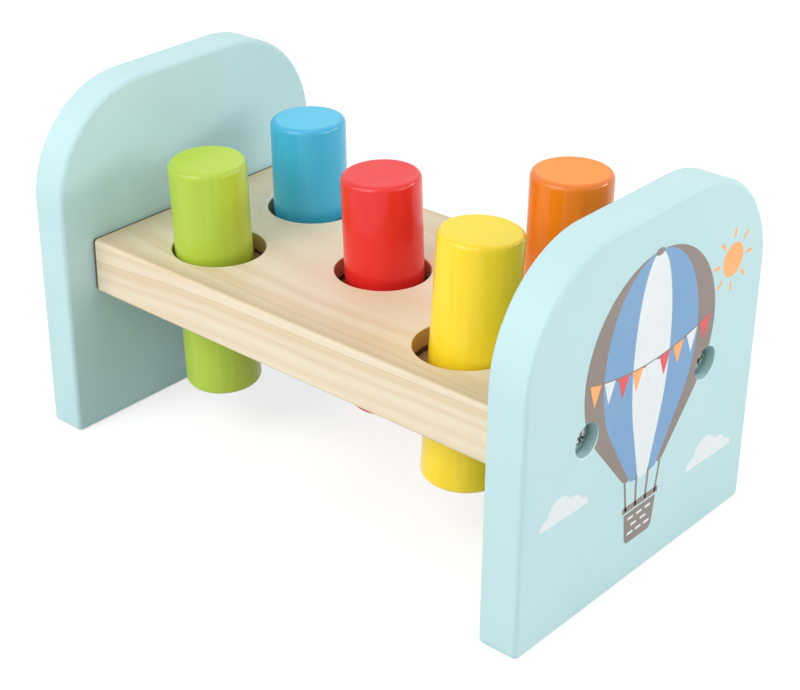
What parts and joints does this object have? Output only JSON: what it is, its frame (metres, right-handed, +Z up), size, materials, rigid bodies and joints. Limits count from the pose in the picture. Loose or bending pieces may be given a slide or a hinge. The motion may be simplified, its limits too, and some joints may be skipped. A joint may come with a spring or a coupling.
{
  "type": "peg pounding bench",
  "caption": "Child's wooden pounding bench: a pine plank between two painted end panels, with round coloured pegs that are hammered through rubber-gripped holes.",
  "frame": {"origin": "on the floor under the middle of the bench", "axes": "+X along the plank towards the printed right end panel, +Y to the back, +Z up"},
  "size_m": [0.237, 0.1376, 0.141],
  "materials": {
    "natural_pine": "sanded pine under a thin clear satin varnish, grain along the plank",
    "aqua_painted_wood": "smooth satin water-based paint over wood, pale aqua",
    "green_painted_wood": "satin-gloss lime green paint over turned wood",
    "blue_painted_wood": "satin-gloss sky blue paint over turned wood",
    "red_painted_wood": "satin-gloss red paint over turned wood",
    "yellow_painted_wood": "satin-gloss yellow paint over turned wood",
    "orange_painted_wood": "satin-gloss orange paint over turned wood",
    "brown_rubber": "soft matt brown gum rubber",
    "zinc_screw": "zinc-plated steel wood screw"
  },
  "bodies": {
    "bench": {"bench_plank": "natural_pine", "left_end_panel": "aqua_painted_wood", "right_end_panel": "aqua_painted_wood", "green_grip_ring": "brown_rubber", "blue_grip_ring": "brown_rubber", "red_grip_ring": "brown_rubber", "yellow_grip_ring": "brown_rubber", "orange_grip_ring": "brown_rubber", "left_front_screw": "zinc_screw", "left_rear_screw": "zinc_screw", "right_front_screw": "zinc_screw", "right_rear_screw": "zinc_screw"},
    "green_peg": {"green_peg": "green_painted_wood"},
    "blue_peg": {"blue_peg": "blue_painted_wood"},
    "red_peg": {"red_peg": "red_painted_wood"},
    "yellow_peg": {"yellow_peg": "yellow_painted_wood"},
    "orange_peg": {"orange_peg": "orange_painted_wood"}
  },
  "joints": [
    {"name": "green_peg_slide", "type": "slide", "parent": "bench", "child": "green_peg", "axis": [-0.0085, -0.0398, 0.9992], "range_m": [-0.0221, 0.0355]},
    {"name": "blue_peg_slide", "type": "slide", "parent": "bench", "child": "blue_peg", "axis": [-0.0185, -0.0085, 0.9998], "range_m": [-0.0225, 0.035]},
    {"name": "red_peg_slide", "type": "slide", "parent": "bench", "child": "red_peg", "axis": [-0.0298, -0.0213, 0.9993], "range_m": [-0.0241, 0.0335]},
    {"name": "yellow_peg_slide", "type": "slide", "parent": "bench", "child": "yellow_peg", "axis": [0.0213, 0.0455, 0.9987], "range_m": [-0.0291, 0.0285]},
    {"name": "orange_peg_slide", "type": "slide", "parent": "bench", "child": "orange_peg", "axis": [0.0028, 0.0085, 1], "range_m": [-0.0335, 0.024]}
  ]
}
